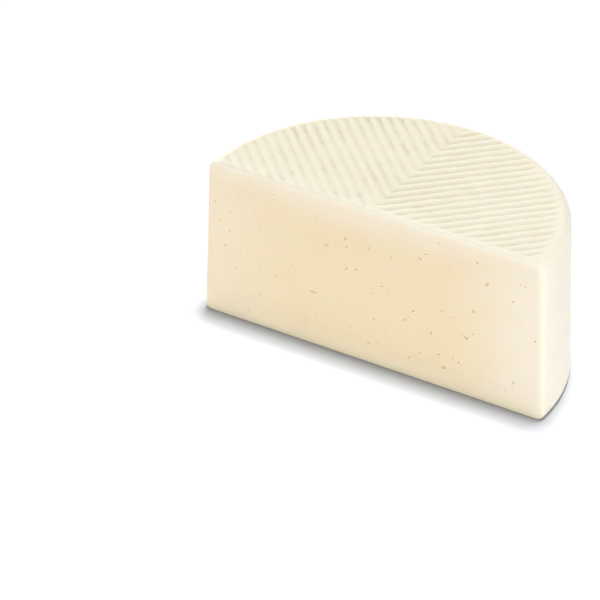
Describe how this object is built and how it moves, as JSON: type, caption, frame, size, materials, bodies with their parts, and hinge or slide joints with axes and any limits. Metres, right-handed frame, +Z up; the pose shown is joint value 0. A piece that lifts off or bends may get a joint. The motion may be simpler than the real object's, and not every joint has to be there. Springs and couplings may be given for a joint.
{
  "type": "mild young cheese",
  "caption": "Half wheel of pale, mild young cheese with a flat cut face, small scattered eyes, and a top pressed with slanting grooves that meet on a seam.",
  "frame": {"origin": "centre of the whole wheel, on the flat base, 4.2 mm inside the cut face", "axes": "+Z up, from the base to the grooved top; the cut face looks along -Y and runs along X; the round side is on +Y"},
  "size_m": [0.1958, 0.1021, 0.0883],
  "materials": {
    "cheese": "matt, smooth and slightly moist cream-coloured paste"
  },
  "bodies": {
    "root": {"half_wheel": "cheese"}
  },
  "joints": []
}
